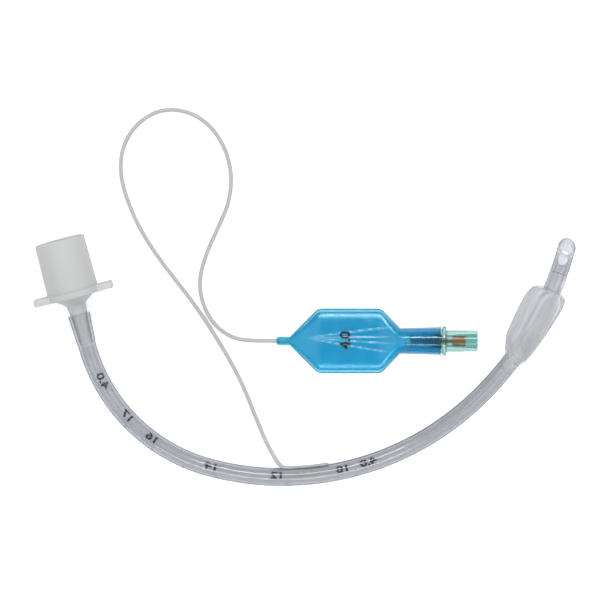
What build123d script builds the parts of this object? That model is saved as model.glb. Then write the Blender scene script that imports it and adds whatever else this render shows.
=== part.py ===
"""A cuffed endotracheal tube of 4.0 mm bore, lying on its side.

The shaft, its connector and its cuff are stiff enough to keep their curve, so they rest on three
places. The pilot balloon and its valve lie beside them, at the end of the thin inflation line.
Millimetres, +Z up, with the surface that the tube lies on at Z = 0.
"""

import os
from math import atan2, cos, degrees, pi, radians, sin, tan

from build123d import *

os.makedirs("parts", exist_ok=True)

# Shaft: an extruded tube, bent to an even curve that opens out towards the patient's end
tube_bore = 4.0
tube_wall = 0.75
shaft_start = (-67.7, 13.77)
shaft_heading = -75.3
machine_straight = 9.4
bends = [(52.0, 60.1), (84.0, 58.8), (97.5, 30.6)]
tip_straight = 4.8
bevel_angle = 45.0
rim_round = 0.2
eye_length = 4.2
eye_width = 3.5
eye_from_tip = 6.4

# Inflation lumen in the shaft's wall, on the inner side of the bend, and the notch that opens it
lumen_bore = 0.44
lumen_offset = 2.37
notch_from_tip = 117.9
notch_length = 11.4
mouth_length = 4.6
mouth_radius = 0.95
mouth_offset = 3.0
port_from_tip = 27.0
port_length = 2.4

# Connector: a 15 mm cone that tapers 1 in 40, a flange with two ears and a stem for the tube
cone_end_dia = 15.06
cone_taper = 1 / 40
cone_length = 15.6
connector_bore = 12.9
connector_bore_depth = 15.0
flange_dia = 17.0
flange_thickness = 2.0
ear_span = 24.2
ear_width = 9.0
shoulder_dia = 12.6
shoulder_length = 2.4
shoulder_sag = 0.35
rim_chamfer = 0.25
ear_corner = 0.3
neck_dia = 6.0
neck_length = 3.0
stem_dia = 5.24
stem_tip_dia = 4.2
stem_bore = 3.1
stem_insertion = 9.0

# Flare of the shaft's end where it is pushed over the stem
flare_lip = 0.35
flare_wall = 0.78

# Cuff: thin film, welded to the shaft by a collar at each end
cuff_film = 0.1
collar_film = 0.2
cuff_from_tip = 16.2
cuff_length = 24.6
tip_collar = 5.2
machine_collar = 3.6
cuff_half_thickness = 4.8
cuff_rest_share = 0.64
cuff_folds = 5
fold_drift = 1.2
collar_lap = 0.4

# Inflation line: limp tube from the pilot balloon to the notch
line_dia = 1.2
line_bore = 0.5
line_standoff = 2.7
line_clear = 0.02
line_in_neck = 3.5
line_straight_out = 4.5
line_landing = 1.6
line_slant = (3.3, -0.15, -3.3)

# Pilot balloon: a flat blown pouch between two necks
pilot_x = -8.55
pilot_y = 5.7
neck_tip_dia = 2.55
neck_tip_length = 4.0
neck_tip_round = 0.45
pouch_width = 19.5
pouch_thickness = 4.2
pouch_start = 12.45
pouch_length = 19.05
pouch_corner = 3.0
shoulder_angle = 45.0
balloon_wall = 0.45
valve_neck_start = 37.2
valve_neck_length = 12.3
valve_neck_dia = 7.7
valve_neck_end_dia = 8.4
valve_lip_dia = 8.8
valve_lip_length = 0.5

# Valve: a housing with a Luer socket, and a plunger that a spring holds shut
housing_start = 39.45
housing_length = 21.0
housing_flange_dia = 8.9
housing_flange_thickness = 1.15
flange_setback = 0.4
luer_outer_dia = 6.4
luer_draft = 0.05
luer_mouth_dia = 4.27
luer_taper = 0.06
luer_depth = 7.5
throat_dia = 3.5
throat_length = 2.2
seat_web = 1.05
seat_hole_dia = 1.9
chamber_dia = 4.6
plunger_head_dia = 3.06
plunger_head_length = 3.9
head_chamfer = 0.2
plunger_stem_dia = 1.0
plunger_travel = 2.0
backing_dia = 3.8
backing_thickness = 0.6
seal_dia = 4.0
seal_thickness = 1.9
spring_dia = 2.8
spring_wire = 0.34
spring_turns = 7.5
retainer_thickness = 0.75
retainer_nub_dia = 2.7
retainer_nub_length = 0.75
retainer_vent = 1.0

tube_r = tube_bore / 2 + tube_wall
bore_r = tube_bore / 2
line_r = line_dia / 2

# Distances along the shaft, from its machine end
arc_lengths = [radius * radians(turn) for radius, turn in bends]
shaft_length = machine_straight + sum(arc_lengths) + tip_straight
notch_at = shaft_length - notch_from_tip
port_at = shaft_length - port_from_tip
cuff_at = shaft_length - cuff_from_tip - cuff_length
cuff_end = shaft_length - cuff_from_tip


def on_path(distance):
    """Place and heading of the shaft's centre line at this distance, in the plane of the bend."""
    x, y = shaft_start
    heading = radians(shaft_heading)
    step = min(distance, machine_straight)
    x += step * cos(heading)
    y += step * sin(heading)
    left = distance - step
    for (radius, turn), length in zip(bends, arc_lengths):
        part = min(left, length)
        new_heading = heading + part / radius
        x += radius * (sin(new_heading) - sin(heading))
        y -= radius * (cos(new_heading) - cos(heading))
        heading = new_heading
        left -= part
    x += left * cos(heading)
    y += left * sin(heading)
    return x, y, heading


# The stiff assembly rests on the flange's edge, on the low side of the bend and on the cuff,
# so the plane of the bend passes at each one's own radius above the surface
open_end_gap = cone_length + flange_thickness + shoulder_length + neck_length
bend_rest_at = machine_straight + arc_lengths[0] + 0.47 * arc_lengths[1]
cuff_rest_at = cuff_at + cuff_rest_share * cuff_length
start_x, start_y, start_heading = on_path(0)
flange_back = neck_length + shoulder_length
rest_heights = [
    Vector(
        start_x - flange_back * cos(start_heading),
        start_y - flange_back * sin(start_heading),
        flange_dia / 2,
    ),
    Vector(*on_path(bend_rest_at)[:2], tube_r),
    Vector(*on_path(cuff_rest_at)[:2], cuff_half_thickness),
]
bend_normal = (rest_heights[1] - rest_heights[0]).cross(rest_heights[2] - rest_heights[0]).normalized()
bend_height = rest_heights[0].dot(bend_normal) / bend_normal.Z
bend_plane = Plane(
    origin=(0, 0, bend_height),
    x_dir=(1, 0, -bend_normal.X / bend_normal.Z),
    z_dir=bend_normal,
)


def across(distance):
    """Plane across the shaft: X to the inner side of the bend, Y up from it, Z along the shaft."""
    x, y, heading = on_path(distance)
    along = bend_plane.x_dir * cos(heading) + bend_plane.y_dir * sin(heading)
    inward = bend_plane.y_dir * cos(heading) - bend_plane.x_dir * sin(heading)
    return Plane(origin=bend_plane.from_local_coords((x, y, 0)), x_dir=inward, z_dir=along)


def stretches(start, end):
    """The straights and arcs of the shaft between two distances: plane, radius or None, amount."""
    knots = [0, machine_straight]
    for length in arc_lengths:
        knots.append(knots[-1] + length)
    knots.append(shaft_length)
    radii = [None] + [radius for radius, turn in bends] + [None]
    pieces = []
    for low, high, radius in zip(knots, knots[1:], radii):
        low, high = max(low, start), min(high, end)
        if high - low > 1e-6:
            pieces.append((across(low), radius, high - low))
    return pieces


def follow(start, end, outer, inner=0.0, offset=0.0, mode=Mode.ADD):
    """Round rod or tube along the shaft's own curve, offset towards the inner side of the bend."""
    for plane, radius, amount in stretches(start, end):
        with BuildSketch(plane) as section:
            with Locations((offset, 0)):
                Circle(outer)
                if inner:
                    Circle(inner, mode=Mode.SUBTRACT)
        if radius:
            hinge = Axis(plane.from_local_coords((radius, 0, 0)), bend_plane.z_dir)
            revolve(section.sketch, axis=hinge, revolution_arc=degrees(amount / radius), mode=mode)
        else:
            extrude(section.sketch, amount=amount, mode=mode)


# Shaft tube
stem_tip_r = stem_tip_dia / 2
flare_r = stem_dia / 2 + flare_wall
machine_plane = across(0)
flare_plane = Plane(origin=machine_plane.origin, x_dir=machine_plane.x_dir, z_dir=-machine_plane.y_dir)
tip_plane = across(shaft_length)
bevel_plane = Plane(
    origin=tip_plane.from_local_coords((0, -tube_r, 0)),
    x_dir=tip_plane.x_dir,
    z_dir=tip_plane.z_dir * cos(radians(bevel_angle)) + tip_plane.y_dir * sin(radians(bevel_angle)),
)
eye_plane = Plane(
    origin=across(shaft_length - eye_from_tip).origin,
    x_dir=tip_plane.z_dir,
    z_dir=-tip_plane.y_dir,
)
port_plane = across(port_at)
port_cut = Plane(origin=port_plane.origin, x_dir=port_plane.z_dir, z_dir=port_plane.x_dir)

with BuildPart() as shaft_tube:
    with BuildSketch(flare_plane):
        with BuildLine():
            Polyline(
                (stem_dia / 2, 0),
                (flare_r, 0),
                (tube_r + flare_lip / 2, stem_insertion - 0.5),
                (tube_r, stem_insertion + 0.3),
                (tube_r, machine_straight),
                (bore_r, machine_straight),
                (bore_r, stem_insertion),
                (stem_tip_r, stem_insertion),
                close=True,
            )
        make_face()
    revolve(axis=Axis(machine_plane.origin, machine_plane.z_dir))
    follow(machine_straight, shaft_length, tube_r, bore_r)
    split(bisect_by=bevel_plane, keep=Keep.BOTTOM)
    bevel_rims = shaft_tube.faces().filter_by(bevel_plane).edges()
    fillet(bevel_rims, rim_round)
    with BuildSketch(eye_plane):
        Ellipse(eye_length / 2, eye_width / 2)
    extrude(amount=tube_r + 1, mode=Mode.SUBTRACT)
    # The mouth of the notch is wider, where the line bends down into it
    follow(notch_at - mouth_length, notch_at, mouth_radius, offset=mouth_offset, mode=Mode.SUBTRACT)
    follow(notch_at, notch_at + notch_length, line_r, offset=line_standoff, mode=Mode.SUBTRACT)
    follow(notch_at + notch_length, port_at, lumen_bore / 2, offset=lumen_offset, mode=Mode.SUBTRACT)
    with BuildSketch(port_cut.offset(lumen_offset)):
        SlotOverall(port_length, lumen_bore * 1.4)
    extrude(amount=tube_wall, mode=Mode.SUBTRACT)

# The line's end, swaged into the notch and cemented there, where it opens into the lumen
with BuildPart() as line_end:
    follow(notch_at, notch_at + notch_length, line_r, line_bore / 2, offset=line_standoff)

# Connector, moulded round the shaft's own axis, with its open end away from the shaft
cone_r = cone_end_dia / 2
cone_root_r = cone_r + cone_length * cone_taper / 2
shoulder_r = shoulder_dia / 2
flange_end = cone_length + flange_thickness
neck_at = open_end_gap - neck_length
connector_end = open_end_gap + stem_insertion
open_end = Plane(
    origin=machine_plane.origin - machine_plane.z_dir * open_end_gap,
    x_dir=machine_plane.x_dir,
    z_dir=machine_plane.z_dir,
)
connector_profile = Plane(origin=open_end.origin, x_dir=open_end.x_dir, z_dir=-open_end.y_dir)

with BuildPart() as connector:
    with BuildSketch(connector_profile):
        with BuildLine():
            Polyline(
                (shoulder_r, flange_end),
                (flange_dia / 2, flange_end),
                (flange_dia / 2, cone_length),
                (cone_root_r, cone_length),
                (cone_r + rim_chamfer * cone_taper / 2, rim_chamfer),
                (cone_r - rim_chamfer, 0),
                (connector_bore / 2, 0),
                (connector_bore / 2, connector_bore_depth),
                (stem_bore / 2, neck_at),
                (stem_bore / 2, connector_end),
                (stem_tip_r, connector_end),
                (stem_dia / 2, open_end_gap),
                (neck_dia / 2, neck_at),
            )
            SagittaArc((neck_dia / 2, neck_at), (shoulder_r, flange_end), shoulder_sag)
        make_face()
    revolve(axis=Axis(open_end.origin, open_end.z_dir))
    with BuildSketch(open_end.offset(cone_length)) as ears:
        Rectangle(ear_span, ear_width)
        fillet(ears.vertices(), ear_corner)
        Circle(shoulder_r, mode=Mode.SUBTRACT)
    extrude(amount=flange_thickness)

# Cuff: sections across the shaft, wider on the inner side of the bend, with lengthwise folds.
# Each is (share of the length, shift inwards, half width, half thickness, fold depth)
collar_r = tube_r + collar_film
mouth_in = collar_r - collar_film / 4
cuff_sections = [
    (0.0, 0.0, mouth_in, mouth_in, 0.0),
    (0.10, 0.2, 3.9, 3.6, 0.10),
    (0.22, 0.8, 5.1, 4.3, 0.26),
    (0.42, 1.0, 5.7, 4.7, 0.36),
    (cuff_rest_share, 1.05, 6.05, cuff_half_thickness, 0.36),
    (0.84, 0.95, 5.9, 4.5, 0.28),
    (0.94, 0.6, 5.0, 3.9, 0.14),
    (1.0, 0.0, mouth_in, mouth_in, 0.0),
]


def cuff_ring(share, shift, half_width, half_thickness, depth):
    """Points round one section of the cuff, which swells and sinks at the folds."""
    points = []
    for step in range(cuff_folds * 4):
        angle = 2 * pi * step / (cuff_folds * 4)
        fold = depth * (cos(cuff_folds * (angle + pi / 2) + fold_drift * (share - cuff_rest_share)) - 1)
        points.append((shift + (half_width + fold) * cos(angle), (half_thickness + fold) * sin(angle)))
    return points


def cuff_form(inset, mode):
    """The cuff's lofted form, drawn in by inset."""
    sections = []
    for share, shift, half_width, half_thickness, depth in cuff_sections:
        with BuildSketch(across(cuff_at + share * cuff_length)) as section:
            with BuildLine():
                ring = cuff_ring(share, shift, half_width - inset, half_thickness - inset, depth)
                Spline(ring, periodic=True)
            make_face()
        sections.append(section.sketch)
    loft(sections, mode=mode)


with BuildPart() as cuff:
    cuff_form(0.0, Mode.ADD)
    follow(cuff_at - machine_collar, cuff_at + collar_lap, collar_r)
    follow(cuff_end - collar_lap, cuff_end + tip_collar, collar_r)
    cuff_form(cuff_film, Mode.SUBTRACT)
    follow(cuff_at - machine_collar, cuff_end + tip_collar, tube_r, mode=Mode.SUBTRACT)

# The pilot balloon lies on the surface on its thin neck and on the valve's flange
neck_end = valve_neck_start + valve_neck_length
flange_at = neck_end + flange_setback
pilot_tilt = atan2((housing_flange_dia - neck_tip_dia) / 2, flange_at)
pilot_axis = Vector(cos(pilot_tilt), 0, sin(pilot_tilt))
pilot_origin = Vector(pilot_x, pilot_y, neck_tip_dia / 2)
pilot_turn = Axis(pilot_origin, pilot_axis)
pilot_profile = Plane(origin=pilot_origin, x_dir=pilot_axis, z_dir=(0, -1, 0))


def pilot(distance):
    """Plane across the balloon and its valve at this distance from the thin neck's end."""
    return Plane(origin=pilot_origin + pilot_axis * distance, x_dir=(0, 1, 0), z_dir=pilot_axis)


def turned(*points, mode=Mode.ADD):
    """A turned form on the pilot axis, from an outline of (distance, radius)."""
    with BuildSketch(pilot_profile) as outline:
        with BuildLine():
            Polyline(*points, close=True)
        make_face()
    revolve(outline.sketch, axis=pilot_turn, mode=mode)


def pouch(thin_r, half_width, half_thickness, wide_r, mode):
    """The pouch: an even lens between rounded shoulders, narrowing straight to both necks."""
    pouch_end = pouch_start + pouch_length
    corner_reach = pouch_corner * tan(radians(shoulder_angle / 2))
    rings = [(neck_tip_length, thin_r, thin_r), (valve_neck_start, wide_r, wide_r)]
    for angle in (0, radians(shoulder_angle / 2), radians(shoulder_angle)):
        half = half_width - pouch_corner * (1 - cos(angle))
        along = pouch_corner * sin(angle) - corner_reach
        for at, neck_r in ((pouch_start - along, thin_r), (pouch_end + along, wide_r)):
            share = (half - neck_r) / (half_width - neck_r)
            rings.append((at, half, neck_r + share * (half_thickness - neck_r)))
    sections = []
    for at, half, thick in sorted(rings):
        with BuildSketch(pilot(at)) as section:
            Ellipse(half, thick)
        sections.append(section.sketch)
    loft(sections, ruled=True, mode=mode)


# Pilot balloon
neck_tip_r = neck_tip_dia / 2
valve_neck_r = valve_neck_dia / 2
valve_neck_end_r = valve_neck_end_dia / 2
lip_r = valve_lip_dia / 2
with BuildPart() as pilot_balloon:
    pouch(neck_tip_r, pouch_width / 2, pouch_thickness / 2, valve_neck_r, Mode.ADD)
    turned((0, 0), (0, neck_tip_r), (neck_tip_length, neck_tip_r), (neck_tip_length, 0))
    fillet(pilot_balloon.edges().sort_by(pilot_turn)[0], neck_tip_round)
    turned(
        (valve_neck_start, 0),
        (valve_neck_start, valve_neck_r),
        (neck_end - valve_lip_length, valve_neck_end_r),
        (neck_end - valve_lip_length, lip_r),
        (neck_end, lip_r),
        (neck_end, 0),
    )
    pouch(
        line_r,
        pouch_width / 2 - balloon_wall,
        pouch_thickness / 2 - balloon_wall,
        valve_neck_r - balloon_wall,
        Mode.SUBTRACT,
    )
    turned((0, 0), (0, line_r), (neck_tip_length, line_r), (neck_tip_length, 0), mode=Mode.SUBTRACT)
    turned(
        (valve_neck_start, 0),
        (valve_neck_start, valve_neck_r - balloon_wall),
        (neck_end, valve_neck_end_r - balloon_wall),
        (neck_end, 0),
        mode=Mode.SUBTRACT,
    )

# Valve housing: its long skirt is cemented in the balloon's neck
housing_end = housing_start + housing_length
insert_share = (housing_start - valve_neck_start) / valve_neck_length
insert_end_r = valve_neck_end_r - balloon_wall
insert_r = valve_neck_r - balloon_wall + insert_share * (insert_end_r - valve_neck_r + balloon_wall)
luer_root = housing_end - luer_depth
throat_end = luer_root - throat_length
seat_at = throat_end - seat_web
luer_r = luer_outer_dia / 2
mouth_r = luer_mouth_dia / 2
chamber_r = chamber_dia / 2
flange_far = flange_at + housing_flange_thickness
with BuildPart() as valve_housing:
    turned(
        (housing_start, chamber_r),
        (housing_start, insert_r),
        (neck_end, insert_end_r),
        (flange_at, insert_end_r),
        (flange_at, housing_flange_dia / 2),
        (flange_far, housing_flange_dia / 2),
        (flange_far, luer_r),
        (housing_end, luer_r - luer_draft),
        (housing_end, mouth_r),
        (luer_root, mouth_r - luer_depth * luer_taper / 2),
        (luer_root, throat_dia / 2),
        (throat_end, throat_dia / 2),
        (throat_end, seat_hole_dia / 2),
        (seat_at, seat_hole_dia / 2),
        (seat_at, chamber_r),
    )

# Valve plunger: head, stem and the backing disc that carries the seal
backing_at = seat_at - seal_thickness - backing_thickness
head_at = luer_root
head_r = plunger_head_dia / 2
stem_r = plunger_stem_dia / 2
with BuildPart() as valve_plunger:
    turned(
        (backing_at, 0),
        (backing_at, backing_dia / 2),
        (backing_at + backing_thickness, backing_dia / 2),
        (backing_at + backing_thickness, stem_r),
        (head_at, stem_r),
        (head_at, head_r),
        (head_at + plunger_head_length - head_chamfer, head_r),
        (head_at + plunger_head_length, head_r - head_chamfer),
        (head_at + plunger_head_length, 0),
    )

# Seal: a soft ring round the stem, pressed against the seat by the spring
with BuildPart() as valve_seal:
    turned(
        (seat_at - seal_thickness, stem_r),
        (seat_at - seal_thickness, seal_dia / 2),
        (seat_at, seal_dia / 2),
        (seat_at, stem_r),
    )

# Spring retainer: a plug with a vent, pressed in the inner end of the housing
retainer_end = housing_start + retainer_thickness
nub_start = housing_start - retainer_nub_length
with BuildPart() as spring_retainer:
    turned(
        (nub_start, retainer_vent / 2),
        (nub_start, retainer_nub_dia / 2),
        (housing_start, retainer_nub_dia / 2),
        (housing_start, chamber_r),
        (retainer_end, chamber_r),
        (retainer_end, retainer_vent / 2),
    )

# Spring: a helix between the retainer and the backing disc
spring_low = retainer_end + spring_wire / 2
spring_high = backing_at - spring_wire / 2
with BuildPart() as valve_spring:
    with BuildLine() as coil:
        Helix(
            pitch=(spring_high - spring_low) / spring_turns,
            height=spring_high - spring_low,
            radius=(spring_dia - spring_wire) / 2,
            center=pilot(spring_low).origin,
            direction=pilot_axis,
        )
    with BuildSketch(Plane(origin=coil.line @ 0, z_dir=coil.line % 0)):
        Circle(spring_wire / 2)
    sweep(path=coil.line, is_frenet=True)

# Inflation line: straight out of the thin neck, up round one loose loop and back to the notch.
# Points of its route as (X, Y, Z), which it passes on the inside of each turn
line_low = line_r + line_clear
notch_plane = across(notch_at)
line_route = [
    pilot(line_in_neck).origin,
    pilot(-line_straight_out).origin,
    Vector(-21.2, 6.1, line_low),
    Vector(-27.3, 10.4, line_low),
    Vector(-30.9, 16.9, line_low),
    Vector(-31.9, 24.2, line_low),
    Vector(-29.7, 32.0, line_low),
    Vector(-26.2, 39.6, line_low),
    Vector(-22.9, 47.0, line_low),
    Vector(-21.9, 54.9, line_low),
    Vector(-23.6, 63.0, line_low),
    Vector(-28.0, 70.2, line_low),
    Vector(-34.9, 74.8, line_low),
    Vector(-43.0, 75.5, line_low),
    Vector(-50.2, 71.6, line_low),
    Vector(-54.8, 64.6, line_low),
    Vector(-55.7, 56.4, line_low),
    Vector(-53.6, 48.3, line_low),
    Vector(-49.8, 39.6, line_low),
    Vector(-44.3, 31.0, line_low),
    Vector(-38.4, 23.4, line_low),
    Vector(-32.5, 15.7, line_low),
    Vector(-27.2, 7.6, line_low),
    Vector(-22.3, -0.5, line_low),
    Vector(-18.2, -8.6, line_low),
    Vector(-14.9, -17.0, line_low),
    Vector(-11.6, -25.0, 1.0),
    Vector(-8.6, -30.2, 2.4),
    notch_plane.from_local_coords(line_slant),
    notch_plane.from_local_coords((line_standoff, 0, -line_landing)),
    notch_plane.from_local_coords((line_standoff, 0, 0)),
]
line_radii = []
for before, corner, after in zip(line_route, line_route[1:], line_route[2:]):
    run_in = corner - before
    run_out = after - corner
    half_turn = radians(run_in.get_angle(run_out)) / 2
    line_radii.append(0.45 * min(run_in.length, run_out.length) / tan(half_turn))
with BuildPart() as inflation_line:
    with BuildLine() as route:
        FilletPolyline(*line_route, radius=line_radii)
    with BuildSketch(Plane(origin=route.line @ 0, z_dir=route.line % 0)):
        Circle(line_r)
    sweep(path=route.line)
line_length = route.wire().length
print("line radii", [round(radius, 1) for radius in line_radii])
print("line length", round(line_length, 2), "volume share", inflation_line.part.volume / (pi * line_r**2 * line_length))

pieces = {
    "shaft_tube": shaft_tube,
    "line_end": line_end,
    "connector": connector,
    "cuff": cuff,
    "pilot_balloon": pilot_balloon,
    "valve_housing": valve_housing,
    "valve_plunger": valve_plunger,
    "valve_seal": valve_seal,
    "spring_retainer": spring_retainer,
    "valve_spring": valve_spring,
    "inflation_line": inflation_line,
}
for name, piece in pieces.items():
    piece.part.label = name
    export_step(piece.part, f"parts/{name}.step")
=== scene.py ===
"""Visual model of a cuffed endotracheal tube of 4.0 mm bore, with its inflation line and pilot balloon.

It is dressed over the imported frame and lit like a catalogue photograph, seen straight from above.
Metres, +Z up, with the surface that the tube lies on at Z = 0.
"""

from math import atan2, cos, exp, pi, radians, sin, sqrt, tan

import bmesh
import bpy
from mathutils import Matrix, Vector
from mathutils.kdtree import KDTree


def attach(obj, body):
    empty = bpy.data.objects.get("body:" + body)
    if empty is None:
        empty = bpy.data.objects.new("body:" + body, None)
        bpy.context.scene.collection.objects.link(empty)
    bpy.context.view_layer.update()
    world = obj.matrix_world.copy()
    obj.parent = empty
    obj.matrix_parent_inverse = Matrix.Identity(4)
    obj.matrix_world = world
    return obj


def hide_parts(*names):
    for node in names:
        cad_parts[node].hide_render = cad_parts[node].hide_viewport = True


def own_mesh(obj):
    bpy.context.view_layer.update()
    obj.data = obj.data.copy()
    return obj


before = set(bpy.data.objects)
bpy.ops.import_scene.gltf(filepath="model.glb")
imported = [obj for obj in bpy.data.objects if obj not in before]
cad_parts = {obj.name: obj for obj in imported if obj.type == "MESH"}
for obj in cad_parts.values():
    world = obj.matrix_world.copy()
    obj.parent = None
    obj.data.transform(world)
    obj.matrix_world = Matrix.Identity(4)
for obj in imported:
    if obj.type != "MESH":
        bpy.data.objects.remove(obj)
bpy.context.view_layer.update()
scene = bpy.context.scene
scene.view_settings.view_transform = "Standard"
scene.cycles.max_bounces = 24
scene.cycles.transmission_bounces = 24
mm = 0.001

# Studio: a white floor under four soft boxes that stand round the camera, which looks straight down.
# The floor clips to white for the camera, and glossy and clear plastic shows the same white floor.
photo_width = 180 * mm
camera_height = 1.5
object_middle = 4 * mm
sensor_width = 36
camera_data = bpy.data.cameras.new("camera")
camera_data.sensor_width = sensor_width
camera_data.lens = sensor_width * (camera_height - object_middle) / photo_width


def placed(name, data):
    """A new object of this mesh, curve, lamp or camera, in the scene."""
    piece = bpy.data.objects.new(name, data)
    scene.collection.objects.link(piece)
    return piece


camera = placed("camera", camera_data)
camera.location = (-1.5 * mm, 18 * mm, camera_height)
scene.camera = camera


def to_linear(code):
    """An sRGB hex colour as linear red, green and blue, with full alpha."""
    parts = [int(code[place : place + 2], 16) / 255 for place in (1, 3, 5)]
    linear = [part / 12.92 if part <= 0.04045 else ((part + 0.055) / 1.055) ** 2.4 for part in parts]
    return linear + [1.0]


def supply(tree, node, inputs):
    """Links or sets these inputs. A node stands for its first output, and a hex value is a colour."""
    for name, value in inputs.items():
        if isinstance(value, bpy.types.Node):
            value = value.outputs[0]
        if isinstance(value, bpy.types.NodeSocket):
            tree.links.new(value, node.inputs[name])
        else:
            node.inputs[name].default_value = to_linear(value) if isinstance(value, str) else value


def add_node(tree, kind, inputs=None, **settings):
    """A node of this kind, with its settings, and with its inputs linked or set."""
    node = tree.nodes.new(kind)
    for name, value in settings.items():
        setattr(node, name, value)
    supply(tree, node, inputs or {})
    return node


def seen_directly(tree):
    """1 for rays from the camera and those that a glossy or clear surface passes on, and 0 for the rest."""
    path = add_node(tree, "ShaderNodeLightPath").outputs
    seen = path["Is Camera Ray"]
    for name in ("Is Glossy Ray", "Is Transmission Ray"):
        seen = add_node(tree, "ShaderNodeMath", {0: seen, 1: path[name]}, operation="MAXIMUM")
    return seen


# Each lamp's place across the table, its power, its width and its depth
lamp_height = 0.9
lamp_aim = Vector((0, 18 * mm, 0))
lamps = {
    "lamp_far": (0.0, 0.58, 2.9, 0.6, 0.16),
    "lamp_near": (0.0, -0.58, 1.3, 0.6, 0.16),
    "lamp_left": (-0.58, 0.0, 2.0, 0.9, 0.9),
    "lamp_right": (0.58, 0.0, 2.0, 0.9, 0.9),
}
for name, (x, y, power, width, depth) in lamps.items():
    lamp_data = bpy.data.lights.new(name, "AREA")
    lamp_data.shape = "RECTANGLE"
    lamp_data.size = width
    lamp_data.size_y = depth
    lamp_data.energy = power
    lamp = placed(name, lamp_data)
    lamp.location = (x, y, lamp_height)
    lamp.rotation_euler = (lamp_aim - lamp.location).to_track_quat("-Z", "Y").to_euler()

world = bpy.data.worlds.new("studio")
scene.world = world
world.use_nodes = True
sky = world.node_tree
sky.nodes.clear()
backdrop = add_node(sky, "ShaderNodeBackground", {"Color": "#A8ACB3", "Strength": 1.0})
add_node(sky, "ShaderNodeOutputWorld", {"Surface": backdrop})

floor_paper = bpy.data.materials.new("matt_white_paper")
floor_paper.use_nodes = True
paper = floor_paper.node_tree
paper.nodes.clear()
floor_glow = 0.5
glow = add_node(paper, "ShaderNodeMath", {0: seen_directly(paper), 1: floor_glow}, operation="MULTIPLY")
paper_face = add_node(paper, "ShaderNodeBsdfDiffuse", {"Color": "#F2F2F2"})
paper_glow = add_node(paper, "ShaderNodeEmission", {"Color": "#FFFFFF", "Strength": glow})
paper_both = add_node(paper, "ShaderNodeAddShader", {0: paper_face, 1: paper_glow})
add_node(paper, "ShaderNodeOutputMaterial", {"Surface": paper_both})

floor_reach = 20
floor_drop = 0.25 * mm
floor_corners = [(x * floor_reach, y * floor_reach, 0) for x, y in ((-1, -1), (1, -1), (1, 1), (-1, 1))]
floor_mesh = bpy.data.meshes.new("floor")
floor_mesh.from_pydata(floor_corners, [], [(0, 1, 2, 3)])
floor_mesh.materials.append(floor_paper)
floor = placed("floor", floor_mesh)
floor.location.z = -floor_drop

# Inflation line: a limp PVC tube 1.2 mm thick, extruded and milky where it scatters light. It leaves the
# balloon's thin neck, lies in one loose loop on the table, and climbs the bend into the shaft's notch.
# Its route is in millimetres, and on the table its middle is at line_low.
line_dia = 1.2 * mm
line_low = 0.62
on_table = [
    (-21.2, 6.1), (-27.3, 10.4), (-30.9, 16.9), (-31.9, 24.2), (-29.7, 32.0), (-26.2, 39.6),
    (-22.9, 47.0), (-21.9, 54.9), (-23.6, 63.0), (-28.0, 70.2), (-34.9, 74.8), (-43.0, 75.5),
    (-50.2, 71.6), (-54.8, 64.6), (-55.7, 56.4), (-53.6, 48.3), (-49.8, 39.6), (-44.3, 31.0),
    (-38.4, 23.4), (-32.5, 15.7), (-27.2, 7.6), (-22.3, -0.5), (-18.2, -8.6), (-14.9, -17.0),
]
line_route = [(-5.057, 5.7, 1.497), (-13.041, 5.7, 0.989)]
line_route += [(x, y, line_low) for x, y in on_table]
line_route += [(-11.6, -25.0, 1.0), (-8.6, -30.2, 2.4), (-7.203, -31.914, 3.138)]
line_route += [(-5.481, -32.465, 3.207), (-3.882, -32.41, 3.174)]
line_curve = bpy.data.curves.new("inflation_line_tube", "CURVE")
line_curve.dimensions = "3D"
line_curve.bevel_depth = line_dia / 2
line_curve.bevel_resolution = 6
line_curve.resolution_u = 10
line_curve.use_fill_caps = True
line_spline = line_curve.splines.new("NURBS")
line_spline.points.add(len(line_route) - 1)
for point, (x, y, z) in zip(line_spline.points, line_route):
    point.co = (x * mm, y * mm, z * mm, 1)
line_spline.order_u = 3
line_spline.use_endpoint_u = True
inflation_line = placed("inflation_line_tube", line_curve)


def uneven(tree, size, low, high, longer=1.0, heading=0.0):
    """Soft variation between two values, in patches of this size that can be drawn out along a heading."""
    place = add_node(tree, "ShaderNodeTexCoord").outputs["Object"]
    turn = {"Vector": place, "Rotation": (0, 0, heading), "Scale": (longer, 1, 1)}
    spread = add_node(tree, "ShaderNodeMapping", turn, vector_type="TEXTURE")
    cloud = add_node(tree, "ShaderNodeTexNoise", {"Vector": spread, "Scale": 1 / size, "Detail": 3.0})
    limits = {"From Min": 0.3, "From Max": 0.7, "To Min": low, "To Max": high}
    return add_node(tree, "ShaderNodeMapRange", {"Value": cloud.outputs["Fac"], **limits})


def new_finish(name, inputs, grain=None):
    """A material with one Principled shader. A grain of (patch size, low, high) varies its roughness."""
    finish = bpy.data.materials.new(name)
    finish.use_nodes = True
    tree = finish.node_tree
    tree.nodes.clear()
    shader = add_node(tree, "ShaderNodeBsdfPrincipled", inputs)
    if grain:
        supply(tree, shader, {"Roughness": uneven(tree, *grain)})
    add_node(tree, "ShaderNodeOutputMaterial", {"Surface": shader})
    return finish, tree, shader


def fit(piece, finish, slot, body, *nodes):
    """Gives a piece its material, and sets it on its body in place of these nodes. The slot is not used."""
    piece.data.materials.clear()
    piece.data.materials.append(finish)
    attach(piece, body)
    if nodes:
        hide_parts(*nodes)


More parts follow.
